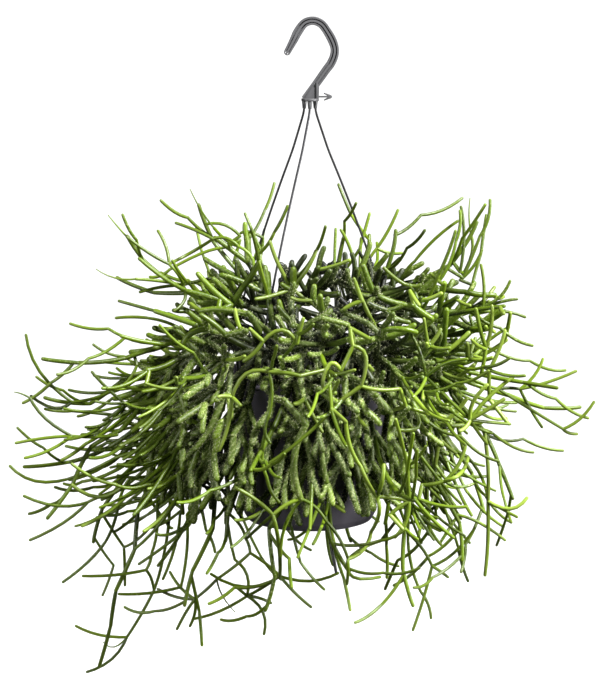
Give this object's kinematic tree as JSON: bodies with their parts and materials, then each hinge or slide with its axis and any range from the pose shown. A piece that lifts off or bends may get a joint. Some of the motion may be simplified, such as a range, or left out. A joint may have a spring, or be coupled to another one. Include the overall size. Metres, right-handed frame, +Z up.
{
  "type": "potted mistletoe cactus",
  "caption": "Mistletoe cactus whose forking green stems arch and trail from a dark plastic pot, hung on thin wires from a plastic hook.",
  "frame": {"origin": "the inner side of the hook's arc where it bears on what holds it, on the pot's axis", "axes": "+Z up through the hook, -Y towards the viewer, +X to the viewer's right"},
  "size_m": [0.4998, 0.4807, 0.5779],
  "materials": {
    "hook_plastic": "satin",
    "wire_plastic": "satin",
    "pot_plastic": "satin",
    "potting_mix": "matte",
    "cactus_stem": "satin"
  },
  "bodies": {
    "root": {"hanger_wire_front": "wire_plastic", "hanger_wire_left": "wire_plastic", "hanger_wire_right": "wire_plastic", "hook": "hook_plastic", "pot": "pot_plastic", "soil": "potting_mix", "stem_side_01": "cactus_stem", "stem_side_02": "cactus_stem", "stem_side_03": "cactus_stem", "stem_side_04": "cactus_stem", "stem_side_05": "cactus_stem", "stem_side_06": "cactus_stem", "stem_side_07": "cactus_stem", "stem_side_08": "cactus_stem", "stem_side_09": "cactus_stem", "stem_side_10": "cactus_stem", "stem_side_11": "cactus_stem", "stem_side_12": "cactus_stem", "stem_side_13": "cactus_stem", "stem_side_14": "cactus_stem", "stem_side_15": "cactus_stem", "stem_side_16": "cactus_stem", "stem_side_17": "cactus_stem", "stem_side_18": "cactus_stem", "stem_skirt_01": "cactus_stem", "stem_skirt_02": "cactus_stem", "stem_skirt_03": "cactus_stem", "stem_skirt_04": "cactus_stem", "stem_skirt_05": "cactus_stem", "stem_skirt_06": "cactus_stem", "stem_skirt_07": "cactus_stem", "stem_skirt_08": "cactus_stem", "stem_skirt_09": "cactus_stem", "stem_skirt_10": "cactus_stem", "stem_skirt_11": "cactus_stem", "stem_skirt_12": "cactus_stem", "stem_top_01": "cactus_stem", "stem_top_02": "cactus_stem", "stem_top_03": "cactus_stem", "stem_top_04": "cactus_stem", "stem_top_05": "cactus_stem", "stem_top_06": "cactus_stem", "stem_top_07": "cactus_stem", "stem_top_08": "cactus_stem", "stem_trail_01": "cactus_stem", "stem_trail_02": "cactus_stem", "stem_trail_03": "cactus_stem", "stem_trail_04": "cactus_stem", "stem_trail_05": "cactus_stem", "stem_trail_06": "cactus_stem", "stem_trail_07": "cactus_stem", "stem_trail_08": "cactus_stem", "stem_trail_09": "cactus_stem", "stem_trail_10": "cactus_stem", "stem_trail_11": "cactus_stem", "stem_trail_12": "cactus_stem", "stem_trail_13": "cactus_stem", "stem_trail_14": "cactus_stem"}
  },
  "joints": []
}
